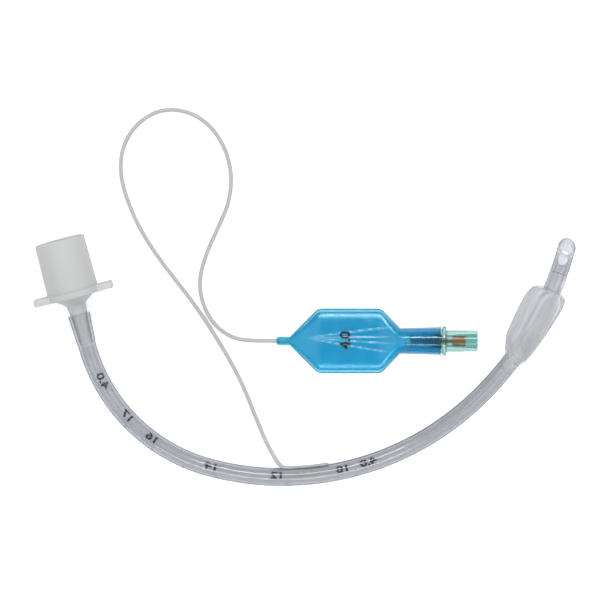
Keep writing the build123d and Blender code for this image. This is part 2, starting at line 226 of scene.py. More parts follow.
# Soft PVC, extruded: a satin skin over a body that lets some light through, so its edges look darker
line_pvc, _, _ = new_finish(
    "milky_soft_pvc",
    {
        "Base Color": "#DBDAD8",
        "IOR": 1.53,
        "Transmission Weight": 0.35,
        "Subsurface Weight": 0.2,
        "Subsurface Radius": (1.0, 1.0, 1.0),
        "Subsurface Scale": 0.5 * mm,
    },
    (2.0 * mm, 0.28, 0.42),
)
fit(inflation_line, line_pvc, "line_pvc", "tube", "inflation_line")

# Shaft: clear PVC, extruded as a plain tube and set to its curve with heat. Its far end is cut at a slant and
# melted round, with an eye punched through the underside, and its near end is stretched over the connector's
# stem. A thin lumen for the cuff's air runs in the wall, on the inner side of the bend.
tube_r = 2.75 * mm
bore_r = 2.0 * mm
path_start = (-67.7 * mm, 13.77 * mm)
path_heading = radians(-75.3)
machine_straight = 9.4 * mm
bends = [(52.0 * mm, radians(60.1)), (84.0 * mm, radians(58.8)), (97.5 * mm, radians(30.6))]
tip_straight = 4.8 * mm
bend_lengths = [radius * turn for radius, turn in bends]
shaft_length = machine_straight + sum(bend_lengths) + tip_straight
flare_r = 3.4 * mm
stem_r = 2.62 * mm
stem_tip_r = 2.1 * mm
stem_insertion = 9.0 * mm
cuff_from_tip = 16.2 * mm
cuff_length = 24.6 * mm
cuff_at = shaft_length - cuff_from_tip - cuff_length
cuff_rest_share = 0.64
cuff_rest_at = cuff_at + cuff_rest_share * cuff_length
cuff_half_thick = 4.8
flange_r = 8.5 * mm
flange_back = 5.4 * mm


def on_path(distance):
    """Place and heading of the shaft's centre line at this distance, in the plane of the bend."""
    x, y = path_start
    heading = path_heading
    step = min(distance, machine_straight)
    x += step * cos(heading)
    y += step * sin(heading)
    left = distance - step
    for radius, turn in bends:
        part = min(max(left, 0), radius * turn)
        after = heading + part / radius
        x += radius * (sin(after) - sin(heading))
        y -= radius * (cos(after) - cos(heading))
        heading = after
        left -= part
    if left > 0:
        x += left * cos(heading)
        y += left * sin(heading)
    return x, y, heading


# The stiff tube rests on the flange's edge, the low side of the bend and the cuff, which tilts the bend
bend_rest_share = 0.47
bend_rest_at = machine_straight + bend_lengths[0] + bend_rest_share * bend_lengths[1]
rest_points = [
    Vector((*on_path(-flange_back)[:2], flange_r)),
    Vector((*on_path(bend_rest_at)[:2], tube_r)),
    Vector((*on_path(cuff_rest_at)[:2], cuff_half_thick * mm)),
]
bend_up = (rest_points[1] - rest_points[0]).cross(rest_points[2] - rest_points[0]).normalized()
bend_origin = Vector((0, 0, rest_points[0].dot(bend_up) / bend_up.z))
bend_x = Vector((1, 0, -bend_up.x / bend_up.z)).normalized()
bend_y = bend_up.cross(bend_x)


def beside_path(distance, inward, up):
    """A point beside the centre line: so far towards the bend's inner side, and so far up from it."""
    x, y, heading = on_path(distance)
    side = bend_y * cos(heading) - bend_x * sin(heading)
    return bend_origin + bend_x * x + bend_y * y + side * inward + bend_up * up


def angles_round(steps):
    """The angles of this many even steps round a circle."""
    return [2 * pi * step / steps for step in range(steps)]


def ring_round(distance, radius, inward=0.0, steps=72):
    """Points round the shaft's centre line, or round a line beside it."""
    turns = [(radius * cos(angle), radius * sin(angle)) for angle in angles_round(steps)]
    return [beside_path(distance, inward + across, up) for across, up in turns]


def skin(name, rings, closed=True):
    """A mesh over a row of rings of points. A closed row ends where it starts, and one point is a pole."""
    mesh = bmesh.new()
    rows = [[mesh.verts.new(point) for point in ring] for ring in rings]
    for low, high in zip(rows, rows[1:] + rows[:1] if closed else rows[1:]):
        count = max(len(low), len(high))
        for step in range(count if count > 1 else 0):
            after = (step + 1) % count
            corners = [low[step % len(low)], low[after % len(low)]]
            corners += [high[after % len(high)], high[step % len(high)]]
            mesh.faces.new(list(dict.fromkeys(corners)))
    bmesh.ops.recalc_face_normals(mesh, faces=mesh.faces)
    data = bpy.data.meshes.new(name)
    mesh.to_mesh(data)
    mesh.free()
    data.shade_smooth()
    data.set_sharp_from_angle(angle=radians(38))
    return placed(name, data)


bevel_reach = 14.0 * mm
rim_round = 0.2 * mm


def sheared(distance, radius, angle):
    """A point of the shaft, drawn back where the slanting cut at the tip shortens its upper side."""
    up = radius * sin(angle)
    share = max(0.0, (distance - shaft_length + bevel_reach) / bevel_reach)
    return beside_path(distance - share * (up + tube_r), radius * cos(angle), up)


wall_stations = [
    (0.0, flare_r),
    (2.0 * mm, flare_r - 0.1 * mm),
    (5.0 * mm, flare_r - 0.3 * mm),
    (8.5 * mm, 2.925 * mm),
    (9.3 * mm, tube_r),
]
long_steps = 150
wall_steps = [step / long_steps for step in range(long_steps + 1)]
rim_at = shaft_length - rim_round
wall_stations += [(machine_straight + (rim_at - machine_straight) * share, tube_r) for share in wall_steps]
wall_stations += [
    (shaft_length - 0.06 * mm, tube_r - 0.06 * mm),
    (shaft_length, tube_r - rim_round),
    (shaft_length, bore_r + rim_round),
    (shaft_length - 0.06 * mm, bore_r + 0.06 * mm),
]
wall_stations += [(rim_at - (rim_at - stem_insertion) * share, bore_r) for share in wall_steps]
stem_gap = 0.02 * mm
wall_stations += [(stem_insertion, stem_tip_r + stem_gap), (0.0, stem_r + stem_gap)]
shaft = skin(
    "shaft_wall",
    [[sheared(distance, radius, angle) for angle in angles_round(72)] for distance, radius in wall_stations],
)


def rod_beside(name, start, end, radius, inward, steps=24):
    """A closed rod that follows the shaft's curve, this far towards its inner side."""
    count = max(2, round((end - start) / mm))
    rings = [[beside_path(start, inward, 0)]]
    for step in range(count + 1):
        rings.append(ring_round(start + (end - start) * step / count, radius, inward, steps))
    rings.append([beside_path(end, inward, 0)])
    return skin(name, rings, closed=False)


def baked(piece):
    """The plain mesh that a piece's modifiers make."""
    bpy.context.view_layer.update()
    return bpy.data.meshes.new_from_object(piece.evaluated_get(bpy.context.evaluated_depsgraph_get()))


def combine(piece, operation, others, sharp):
    """Takes other solids out of a piece, or joins them on, with edges sharp past this angle in degrees."""
    for other in others:
        working = piece.modifiers.new("combine", "BOOLEAN")
        working.operation = operation
        working.solver = "EXACT"
        working.object = other
    whole = baked(piece)
    whole.name = piece.name
    piece.modifiers.clear()
    piece.data = whole
    for other in others:
        bpy.data.objects.remove(other)
    whole.shade_smooth()
    whole.set_sharp_from_angle(angle=radians(sharp))


notch_length = 11.4 * mm
notch_at = shaft_length - 117.9 * mm
notch_end = notch_at + notch_length
mouth_length = 4.6 * mm
mouth_r = 0.95 * mm
mouth_beside = 3.0 * mm
groove_r = 0.61 * mm
line_beside = 2.7 * mm
lumen_r = 0.22 * mm
lumen_beside = 2.37 * mm
lumen_end = shaft_length - 27.0 * mm
overlap = 0.1 * mm
notch_mouth = rod_beside("notch_mouth", notch_at - mouth_length, notch_at + overlap, mouth_r, mouth_beside)
notch_groove = rod_beside("notch_groove", notch_at, notch_end, groove_r, line_beside)
lumen = rod_beside("lumen", notch_end + overlap, lumen_end, lumen_r, lumen_beside, steps=16)

eye_at = shaft_length - 6.4 * mm
eye_half_length = 2.1 * mm
eye_half_width = 1.75 * mm
punch_rings = []
for share, down in ((0, 0.5 * mm), (1, 0.5 * mm), (1, 4.0 * mm), (0, 4.0 * mm)):
    ring = []
    for angle in angles_round(48 if share else 1):
        along = eye_at + share * eye_half_length * cos(angle)
        ring.append(beside_path(along, share * eye_half_width * sin(angle), -down))
    punch_rings.append(ring)
eye_punch = skin("eye_punch", punch_rings, closed=False)
combine(shaft, "DIFFERENCE", [notch_mouth, notch_groove, lumen, eye_punch], sharp=38)

tip_middle = beside_path(shaft_length, 0, 0)
tip_along = (tip_middle - beside_path(shaft_length - mm, 0, 0)).normalized()
centre_steps = 400
centre_tree = KDTree(centre_steps + 1)
for step in range(centre_steps + 1):
    centre_tree.insert(beside_path(shaft_length * step / centre_steps, 0, 0), step)
centre_tree.balance()


def limited(value):
    """The value, held between 0 and 1."""
    return max(0.0, min(1.0, value))


def rim_share(point):
    """1 on the melted rim of the slanting cut, fading to 0 a short way inside it."""
    offset = point - tip_middle
    inside = -(offset.dot(tip_along) + offset.dot(bend_up) + tube_r)
    return limited(1.4 - inside / (0.45 * mm))


def outside_share(point):
    """1 on the outer side of the wall and 0 in the bore."""
    _, _, away = centre_tree.find(point)
    return limited((away - 2.45 * mm) / (0.2 * mm))


def stretch_share(point):
    """1 where the stem stretches the wall and 0 past its end."""
    _, step, _ = centre_tree.find(point)
    return limited((stem_insertion + 0.6 * mm - shaft_length * step / centre_steps) / (0.8 * mm))


def mark(piece, name, values):
    """Writes one number for each vertex, which the piece's material reads by this name."""
    piece.data.attributes.new(name, "FLOAT", "POINT").data.foreach_set("value", values)


for name, share_at in (("rim", rim_share), ("outside", outside_share), ("stretch", stretch_share)):
    mark(shaft, name, [share_at(vertex.co) for vertex in shaft.data.vertices])


def edge_on(tree, start, end):
    """0 where a surface faces the eye, rising to 1 where the eye looks along it: the share of the painted
    edge shade.
    """
    slant = add_node(tree, "ShaderNodeLayerWeight", {"Blend": 0.5}).outputs["Facing"]
    return add_node(tree, "ShaderNodeMapRange", {"Value": slant, "From Min": start, "From Max": end})


def layered(tree, colour, *layers):
    """A colour with others laid over it in turn, each given as its share and its colour."""
    for share, over in layers:
        mixed = add_node(tree, "ShaderNodeMix", {"Factor": share, "A": colour, "B": over}, data_type="RGBA")
        colour = mixed.outputs["Result"]
    return colour


# Clear PVC: glossy from the die, with faint haze where the hot curve was set. Along its edges the eye looks
# through more of the wall, and there the outer wall's grey is painted much deeper and bluer than that longer
# path gives, as painted shade. The melted rim is milky, and the wall is thinner and paler where the stem
# stretches it.
clear_pvc, clear_tree, clear_shader = new_finish("clear_extruded_pvc", {"IOR": 1.53}, (1.6 * mm, 0.015, 0.07))
outside, stretched, melted = [
    add_node(clear_tree, "ShaderNodeAttribute", attribute_name=name).outputs["Fac"]
    for name in ("outside", "stretch", "rim")
]
# Painted shade: the outer wall's colour turns dark slate blue towards the tube's edges
edge = edge_on(clear_tree, 0.12, 0.55)
painted_edge_shade = add_node(clear_tree, "ShaderNodeMath", {0: edge, 1: outside}, operation="MULTIPLY")
wall_colour = layered(
    clear_tree, "#C9CACC", (stretched, "#DDDEE0"), (painted_edge_shade, "#3A435C"), (melted, "#D6D7D9")
)
rim_clear = add_node(clear_tree, "ShaderNodeMapRange", {"Value": melted, "To Min": 1.0, "To Max": 0.35})
ripple = {"Height": uneven(clear_tree, 2.4 * mm, 0.0, 1.0), "Strength": 0.06, "Distance": 0.1 * mm}
clear_ripple = add_node(clear_tree, "ShaderNodeBump", ripple)
clear_looks = {"Base Color": wall_colour, "Transmission Weight": rim_clear, "Normal": clear_ripple}
supply(clear_tree, clear_shader, clear_looks)
fit(shaft, clear_pvc, "clear_pvc", "tube", "shaft_tube")
shaft.visible_shadow = False

# Line end: the same soft PVC tube as the line, here its last 11 mm. It is pushed into the shaft's notch and
# cemented there, where it opens into the lumen that leads to the cuff.
line_end_rings = []
end_steps = 12
for radius, stations in ((line_dia / 2, range(end_steps + 1)), (0.25 * mm, range(end_steps, -1, -1))):
    for step in stations:
        line_end_rings.append(ring_round(notch_at + notch_length * step / end_steps, radius, line_beside, 24))
line_end = skin("line_end_tube", line_end_rings)
fit(line_end, line_pvc, "line_pvc", "tube", "line_end")

# Depth marks: black ink, printed by pad on the shaft's underside, so that from above they are read through
# the tube and mirrored. A bar stands at each 10 mm from the tip, and a plain number beside some of the bars.
ink_lift = 0.012 * mm
bar_reach = 1.5 * mm
print_size = 4.2 * mm
print_turn = 0.12
stroke_spread = 0.036
number_beside = 2.4 * mm
ink, _, _ = new_finish("black_pad_print_ink", {"Base Color": "#0B0C0E", "IOR": 1.45}, (0.3 * mm, 0.4, 0.65))


def lettering(name, text, size, onto):
    """Raised plain figures as a mesh whose every point is laid on a surface by onto(x, y, lift)."""
    letters = bpy.data.curves.new(name, "FONT")
    letters.body = text
    letters.size = size
    letters.align_x = "CENTER"
    letters.align_y = "CENTER"
    letters.extrude = ink_lift / 2
    letters.offset = size * stroke_spread
    source = placed(name, letters)
    bpy.context.view_layer.update()
    data = bpy.data.meshes.new_from_object(source)
    bpy.data.objects.remove(source)
    mesh = bmesh.new()
    mesh.from_mesh(data)
    bmesh.ops.remove_doubles(mesh, verts=mesh.verts, dist=1e-7)
    bmesh.ops.triangulate(mesh, faces=mesh.faces)
    for _ in range(3):
        long_edges = [edge for edge in mesh.edges if edge.calc_length() > 0.3 * mm]
        bmesh.ops.subdivide_edges(mesh, edges=long_edges, cuts=1)
        bmesh.ops.triangulate(mesh, faces=mesh.faces)
    bmesh.ops.dissolve_degenerate(mesh, dist=1e-7, edges=mesh.edges)
    bmesh.ops.triangulate(mesh, faces=mesh.faces)
    for vertex in mesh.verts:
        vertex.co = onto(vertex.co.x, vertex.co.y, vertex.co.z + ink_lift / 2)
    bmesh.ops.recalc_face_normals(mesh, faces=mesh.faces)
    mesh.to_mesh(data)
    mesh.free()
    data.validate()
    data.name = name
    return placed(name, data)


def under_shaft(centre):
    """Lays figures on the shaft's underside round this distance, read from below."""

    def onto(x, y, lift):
        angle = print_turn + y / tube_r
        radius = tube_r + 0.002 * mm + lift
        return beside_path(centre - x, radius * sin(angle), -radius * cos(angle))

    return onto


for depth in (10, 12, 14, 16, 17):
    centre = shaft_length - depth * 10 * mm - number_beside
    fit(lettering(f"depth_{depth}", str(depth), print_size, under_shaft(centre)), ink, None, "tube")
for number, from_tip in enumerate((94.5 * mm, 185.5 * mm)):
    centre = shaft_length - from_tip
    fit(lettering(f"bore_mark_{number}", "4.0", print_size, under_shaft(centre)), ink, None, "tube")

bar_line = bpy.data.curves.new("bar_line", "CURVE")
bar_line.dimensions = "3D"
bar_spline = bar_line.splines.new("POLY")
first_bar = shaft_length - 171 * mm
last_bar = shaft_length - 99 * mm
bar_steps = 72
bar_spline.points.add(bar_steps)
for step, point in enumerate(bar_spline.points):
    point.co = (*beside_path(first_bar + (last_bar - first_bar) * step / bar_steps, 0, 0), 1)
bar_marks = placed("depth_bars", bar_line)


def new_tree(name, sizes):
    """A geometry tree with named number inputs, and the outputs of its group input node."""
    tree = bpy.data.node_groups.new(name, "GeometryNodeTree")
    tree.interface.new_socket("Geometry", in_out="INPUT", socket_type="NodeSocketGeometry")
    for size in sizes:
        tree.interface.new_socket(size, in_out="INPUT", socket_type="NodeSocketFloat")
    tree.interface.new_socket("Finish", in_out="INPUT", socket_type="NodeSocketMaterial")
    tree.interface.new_socket("Geometry", in_out="OUTPUT", socket_type="NodeSocketGeometry")
    return tree, add_node(tree, "NodeGroupInput").outputs


def end_tree(tree, inputs, geometry):
    """Ends a geometry tree, with its instances made real and its finish set."""
    real = add_node(tree, "GeometryNodeRealizeInstances", {"Geometry": geometry})
    painted = add_node(tree, "GeometryNodeSetMaterial", {"Geometry": real, "Material": inputs["Finish"]})
    add_node(tree, "NodeGroupOutput", {"Geometry": painted})


def grown(piece, tree, values):
    """The plain mesh that a geometry tree makes on a piece with these inputs, as a new object."""
    growing = piece.modifiers.new(tree.name, "NODES")
    growing.node_group = tree
    for item in tree.interface.items_tree:
        if item.in_out == "INPUT" and item.name in values:
            growing[item.identifier] = values[item.name]
    data = baked(piece)
    name = piece.name
    bpy.data.objects.remove(piece)
    data.name = name
    return placed(name, data)


bar_tree, bar_in = new_tree("printed_bars", ["Spacing", "Radius", "Bar Angle", "Bar Width", "Ink"])
bar_steps_in = {"Curve": bar_in["Geometry"], "Length": bar_in["Spacing"]}
bar_points = add_node(bar_tree, "GeometryNodeCurveToPoints", bar_steps_in, mode="LENGTH")
bar_angle = bar_in["Bar Angle"]
half_turn = add_node(bar_tree, "ShaderNodeMath", {0: bar_angle, 1: -0.5}, operation="MULTIPLY")
arc_in = {"Resolution": 12, "Radius": bar_in["Radius"], "Start Angle": half_turn, "Sweep Angle": bar_angle}
bar_arc = add_node(bar_tree, "GeometryNodeCurveArc", arc_in)
profile_in = {"Width": bar_in["Ink"], "Height": bar_in["Bar Width"]}
bar_profile = add_node(bar_tree, "GeometryNodeCurvePrimitiveQuadrilateral", profile_in)
solid_in = {"Curve": bar_arc, "Profile Curve": bar_profile, "Fill Caps": True}
bar_solid = add_node(bar_tree, "GeometryNodeCurveToMesh", solid_in)
set_in = {"Points": bar_points, "Instance": bar_solid, "Rotation": bar_points.outputs["Rotation"]}
end_tree(bar_tree, bar_in, add_node(bar_tree, "GeometryNodeInstanceOnPoints", set_in))
bar_values = {
    "Spacing": 10.0 * mm,
    "Radius": tube_r + ink_lift,
    "Bar Angle": bar_reach / tube_r,
    "Bar Width": 0.32 * mm,
    "Ink": ink_lift,
    "Finish": ink,
}
fit(grown(bar_marks, bar_tree, bar_values), ink, None, "tube")

# Connector: natural polypropylene, moulded in one piece. Its 15 mm cone takes the breathing circuit, the ears
# are for pulling it off by hand, and its stem is pressed into the shaft.
open_end_gap = 23.0 * mm
cone_length = 15.6 * mm
cone_mouth_r = 7.535 * mm
cone_root_r = 7.72 * mm
cone_bore_r = 6.45 * mm
cone_bore_end = 15.0 * mm
flange_end = 17.6 * mm
neck_at = 20.0 * mm
shoulder_r = 6.3 * mm
neck_r = 3.0 * mm
stem_bore_r = 1.55 * mm
stem_end = open_end_gap + stem_insertion
shoulder_sag = 0.15 * mm


def connector_ring(along, radius):
    """Points round the connector's axis, measured from its open end, or one point on it for no radius."""
    return [sheared(along - open_end_gap, radius, angle) for angle in angles_round(96 if radius else 1)]


shoulder_stations = []
for step in range(1, 8):
    share = step / 8
    sag = shoulder_sag * 4 * share * (1 - share) * 0.7
    along = neck_at - (neck_at - flange_end) * share - sag
    shoulder_stations.append((along, neck_r + (shoulder_r - neck_r) * share - sag))
connector_stations = [
    (flange_end, shoulder_r),
    (flange_end, flange_r - 0.35 * mm),
    (flange_end - 0.1 * mm, flange_r - 0.1 * mm),
    (flange_end - 0.35 * mm, flange_r),
    (cone_length + 0.35 * mm, flange_r),
    (cone_length + 0.1 * mm, flange_r - 0.1 * mm),
    (cone_length, flange_r - 0.35 * mm),
    (cone_length, cone_root_r + 0.08 * mm),
    (cone_length - 0.1 * mm, cone_root_r + 0.015 * mm),
    (cone_length - 0.4 * mm, cone_root_r),
    (0.4 * mm, cone_mouth_r),
    (0.1 * mm, cone_mouth_r - 0.085 * mm),
    (0.0, cone_mouth_r - 0.335 * mm),
    (0.0, cone_bore_r + 0.25 * mm),
    (0.15 * mm, cone_bore_r + 0.05 * mm),
    (0.4 * mm, cone_bore_r),
    (cone_bore_end - 0.3 * mm, cone_bore_r),
    (cone_bore_end, cone_bore_r - 0.25 * mm),
    (neck_at - 0.3 * mm, stem_bore_r + 0.15 * mm),
    (neck_at, stem_bore_r),
    (stem_end, stem_bore_r),
    (stem_end, stem_tip_r),
    (open_end_gap, stem_r),
    (neck_at, neck_r),
] + shoulder_stations
connector = skin("connector_body", [connector_ring(*station) for station in connector_stations])

ear_half_span = 12.1 * mm
ear_half_width = 4.5 * mm
ear_corner = 0.6 * mm
ear_outline = []
for corner_x, corner_y, start in ((1, 1, 0), (-1, 1, 90), (-1, -1, 180), (1, -1, 270)):
    for step in range(7):
        angle = radians(start + 15 * step)
        x = corner_x * (ear_half_span - ear_corner) + ear_corner * cos(angle)
        y = corner_y * (ear_half_width - ear_corner) + ear_corner * sin(angle)
        ear_outline.append((x, y))


def ear_ring(along, inset):
    """The ears' outline at this distance from the open end, drawn in by inset."""
    scale = (1 - inset / ear_half_span, 1 - inset / ear_half_width)
    return [beside_path(along - open_end_gap, x * scale[0], y * scale[1]) for x, y in ear_outline]


ear_low = cone_length + 0.02 * mm
ear_high = flange_end - 0.02 * mm
ear_rows = [(ear_low, 0.3 * mm), (ear_low + 0.1 * mm, 0.08 * mm), (ear_low + 0.3 * mm, 0.0)]
ear_rows += [(ear_high - 0.3 * mm, 0.0), (ear_high - 0.1 * mm, 0.08 * mm), (ear_high, 0.3 * mm)]
ear_rings = [connector_ring(ear_low, 0)] + [ear_ring(*row) for row in ear_rows]
ear_rings.append(connector_ring(ear_high, 0))
ears = skin("ears", ear_rings, closed=False)
ear_gap_r = 7 * mm
ear_gap_low = cone_length - mm
ear_gap_high = flange_end + mm
gap_rows = [(ear_gap_low, 0), (ear_gap_low, ear_gap_r), (ear_gap_high, ear_gap_r), (ear_gap_high, 0)]
ear_gap = skin("ear_gap", [connector_ring(*row) for row in gap_rows], closed=False)
combine(ears, "DIFFERENCE", [ear_gap], sharp=38)
combine(connector, "UNION", [ears], sharp=30)

# Natural polypropylene: waxy, off-white and cloudy, spark-eroded to a fine matt grain in the mould.
# Thick plastic scatters the light inside it.
natural_pp, pp_tree, pp_shader = new_finish(
    "natural_moulded_polypropylene",
    {
        "Base Color": "#EBEAE7",
        "IOR": 1.49,
        "Transmission Weight": 0.3,
        "Subsurface Weight": 0.25,
        "Subsurface Radius": (1.0, 1.0, 0.95),
        "Subsurface Scale": 1.2 * mm,
    },
    (3.0 * mm, 0.42, 0.55),
)
spark_grain = {"Height": uneven(pp_tree, 0.12 * mm, 0.0, 1.0), "Strength": 0.12, "Distance": 0.02 * mm}
supply(pp_tree, pp_shader, {"Normal": add_node(pp_tree, "ShaderNodeBump", spark_grain)})
fit(connector, natural_pp, "natural_polypropylene", "tube", "connector")

# Cuff: a bag of thin PVC film, blown in a mould and welded to the shaft by a collar at each end. It is let
# down here, so the film stands in soft lengthwise folds, with a long tongue on the side that shows.
# Each row of its form is a share of its length, then its shift, half width, half thickness and fold in mm.
cuff_film = 0.1 * mm
collar_r = tube_r + 0.2 * mm
cuff_form = [
    (0.0, 0.0, 2.9, 2.9, 0.0),
    (0.04, 0.0, 3.4, 3.3, 0.05),
    (0.10, 0.15, 4.05, 3.7, 0.10),
    (0.22, 0.7, 5.1, 4.3, 0.26),
    (0.42, 1.0, 5.7, 4.7, 0.36),
    (cuff_rest_share, 1.05, 6.05, cuff_half_thick, 0.36),
    (0.84, 0.75, 6.1, 4.5, 0.28),
    (0.94, 0.45, 5.4, 4.0, 0.14),
    (0.98, 0.3, 4.2, 3.6, 0.06),
    (1.0, 0.0, 2.9, 2.9, 0.0),
]


def between(table, at):
    """The values of a table at this place in its first column, on a smooth line through its rows."""
    place = max(i for i in range(len(table) - 1) if table[i][0] <= at + 1e-9)
    low, high = table[place], table[place + 1]
    before, after = table[max(place - 1, 0)], table[min(place + 2, len(table) - 1)]
    span = high[0] - low[0]
    t = (at - low[0]) / span
    values = []
    for column in range(1, len(low)):
        slope_low = (high[column] - before[column]) / (high[0] - before[0]) * span
        slope_high = (after[column] - low[column]) / (after[0] - low[0]) * span
        values.append(
            (2 * t**3 - 3 * t**2 + 1) * low[column]
            + (t**3 - 2 * t**2 + t) * slope_low
            + (3 * t**2 - 2 * t**3) * high[column]
            + (t**3 - t**2) * slope_high
        )
    return values


def across_tongue(share, angle):
    """Place across the tongue, where -1 and 1 are its sides, and far outside them past its ends."""
    along = (share - 0.16) / 0.815
    if not 0 < along < 1:
        return 9.0
    half = radians(32) * sqrt(1 - (2 * along - 1) ** 4)
    return (angle - radians(121 - 14 * along)) / max(half, radians(1))


def film_lift(share, angle):
    """How far the film stands out of its even form, in mm: the tongue, its lip and small creases."""
    fade = limited(min(share / 0.12, (1 - share) / 0.06))
    edge = abs(across_tongue(share, angle))
    tongue = 0.15 * exp(-((edge / 0.85) ** 6))
    lip = 0.30 * exp(-(((edge - 1.0) / 0.14) ** 2))
    valley = -0.35 * exp(-(((edge - 1.35) / 0.22) ** 2))
    creases = 0.05 * sin(17 * angle + 5 * share) * sin(9 * angle - 3 * share)
    return fade * (tongue + lip + valley + creases)


def lip_share(share, angle):
    """How strained and white the film is on the tongue's lip, most of all round its top and down one side."""
    across = across_tongue(share, angle)
    side = 1.0 if across > 0 else 0.45
    height = limited((share - 0.25) / 0.5)
    return side * (0.25 + 0.75 * height) * exp(-(((abs(across) - 1.0) / (0.13 + 0.1 * height)) ** 2))


cuff_steps = 144


def cuff_ring(share, inset):
    """One section of the film, drawn in by inset."""
    shift, half_width, half_thick, depth = between(cuff_form, share)
    points = []
    for angle in angles_round(cuff_steps):
        fold = depth * (cos(5 * (angle + pi / 2) + 1.2 * (share - cuff_rest_share)) - 1)
        lift = film_lift(share, angle) if 0.02 < share < 0.98 and angle < pi else 0.0
        out = fold + lift - inset / mm
        inward = (shift + (half_width + out) * cos(angle)) * mm
        up = (half_thick + out) * sin(angle) * mm
        points.append(beside_path(cuff_at + share * cuff_length, inward, up))
    return points


film_steps = 72
film_shares = [0.5 - 0.5 * cos(pi * step / film_steps) for step in range(film_steps + 1)]
inner_shares = film_shares[-2:0:-1]
tip_collar = 5.2 * mm
machine_collar = 3.6 * mm
weld_r = tube_r + 0.015 * mm
cuff_end = cuff_at + cuff_length
collar_low = [
    (cuff_at - machine_collar, weld_r),
    (cuff_at - machine_collar + 0.1 * mm, collar_r),
    (cuff_at - 0.05 * mm, collar_r),
]
collar_high = [
    (cuff_end + 0.05 * mm, collar_r),
    (cuff_end + tip_collar - 0.1 * mm, collar_r),
    (cuff_end + tip_collar, weld_r),
]
film_rings = [ring_round(*station, steps=cuff_steps) for station in collar_low]
film_rings += [cuff_ring(share, 0.0) for share in film_shares]
film_rings += [ring_round(*station, steps=cuff_steps) for station in collar_high]
film_rings += [ring_round(cuff_end + 0.3 * mm, weld_r, steps=cuff_steps)]
film_rings += [cuff_ring(share, cuff_film) for share in inner_shares]
film_rings += [ring_round(cuff_at - 0.3 * mm, weld_r, steps=cuff_steps)]
cuff = skin("cuff_film", film_rings)
ring_shares = [None] * len(collar_low) + film_shares + [None] * (len(collar_high) + 1)
ring_shares += inner_shares + [None]
milky_values = []
lip_values = []
for share in ring_shares:
    for angle in angles_round(cuff_steps):
        milky_values.append(0.0 if share is None else min(1.0, share / 0.10, (1 - share) / 0.05))
        lip_values.append(0.0 if share is None or angle > pi else lip_share(share, angle))
mark(cuff, "milky", milky_values)
mark(cuff, "lip", lip_values)

# Blown film: clear on its collars. On the bag its many small wrinkles make it milky, in streaks that run
# lengthwise, and it is whitest where a fold has strained it.
film_pvc, film_tree, film_shader = new_finish("blown_pvc_film", {"IOR": 1.3})
film_heading = on_path(cuff_rest_at)[2]
film_milky, film_lip = [
    add_node(film_tree, "ShaderNodeAttribute", attribute_name=name).outputs["Fac"]
    for name in ("milky", "lip")
]
film_streak = uneven(film_tree, 1.3 * mm, 0.0, 1.0, longer=7.0, heading=film_heading)
streaked = layered(film_tree, "#D2D4D9", (film_streak, "#ECECEA"))
film_colour = layered(film_tree, "#FFFFFF", (film_milky, streaked), (film_lip, "#FBFBFA"))
film_clear = add_node(film_tree, "ShaderNodeMapRange", {"Value": film_milky, "To Min": 0.98, "To Max": 0.58})
lip_dims = {0: film_lip, 1: -0.4, 2: film_clear}
film_through = add_node(film_tree, "ShaderNodeMath", lip_dims, operation="MULTIPLY_ADD")
film_rough = add_node(film_tree, "ShaderNodeMapRange", {"Value": film_milky, "To Min": 0.05, "To Max": 0.22})
fold_strength = add_node(film_tree, "ShaderNodeMath", {0: film_milky, 1: 0.35}, operation="MULTIPLY")
fine_folds = uneven(film_tree, 0.8 * mm, 0.0, 1.0, longer=9.0, heading=film_heading)
film_folds = {"Height": fine_folds, "Strength": fold_strength, "Distance": 0.2 * mm}
film_looks = {
    "Base Color": film_colour,
    "Transmission Weight": film_through,
    "Roughness": film_rough,
    "Normal": add_node(film_tree, "ShaderNodeBump", film_folds),
}
supply(film_tree, film_shader, film_looks)
fit(cuff, film_pvc, "cuff_film", "tube", "cuff")
cuff.visible_shadow = False

# Pilot balloon: blue PVC, blown as a flat pouch between a thin neck for the line and a wide neck for the
# valve. Its long edges are thicker and painted paler, partly as a painted highlight, and sharp creases run to
# the wide neck.
neck_tip_r = 1.275 * mm
neck_bore_r = 0.62 * mm
thin_neck_length = 4.0 * mm
pilot_origin = Vector((-8.55 * mm, 5.7 * mm, neck_tip_r))
valve_neck_start = 37.2 * mm
neck_end = 49.5 * mm
flange_at = 49.9 * mm
housing_flange_r = 4.45 * mm
pilot_tilt = atan2(housing_flange_r - neck_tip_r, flange_at)
pilot_along = Vector((cos(pilot_tilt), 0, sin(pilot_tilt)))
pilot_up = Vector((-sin(pilot_tilt), 0, cos(pilot_tilt)))
pilot_side = Vector((0, 1, 0))
pouch_half = 9.75 * mm
pouch_thick = 2.1 * mm
pouch_start = 12.45 * mm
pouch_end = 31.5 * mm
pouch_corner = 3.0 * mm
shoulder_turn = radians(45)
balloon_wall = 0.45 * mm
valve_neck_r = 3.85 * mm


def by_pilot(along, side, up):
    """A point measured from the thin neck's end: along the balloon's axis, to its side and up."""
    return pilot_origin + pilot_along * along + pilot_side * side + pilot_up * up


def pilot_place(point):
    """How far a point is along the balloon's axis, to its side and up from it."""
    offset = point - pilot_origin
    return offset.dot(pilot_along), offset.dot(pilot_side), offset.dot(pilot_up)


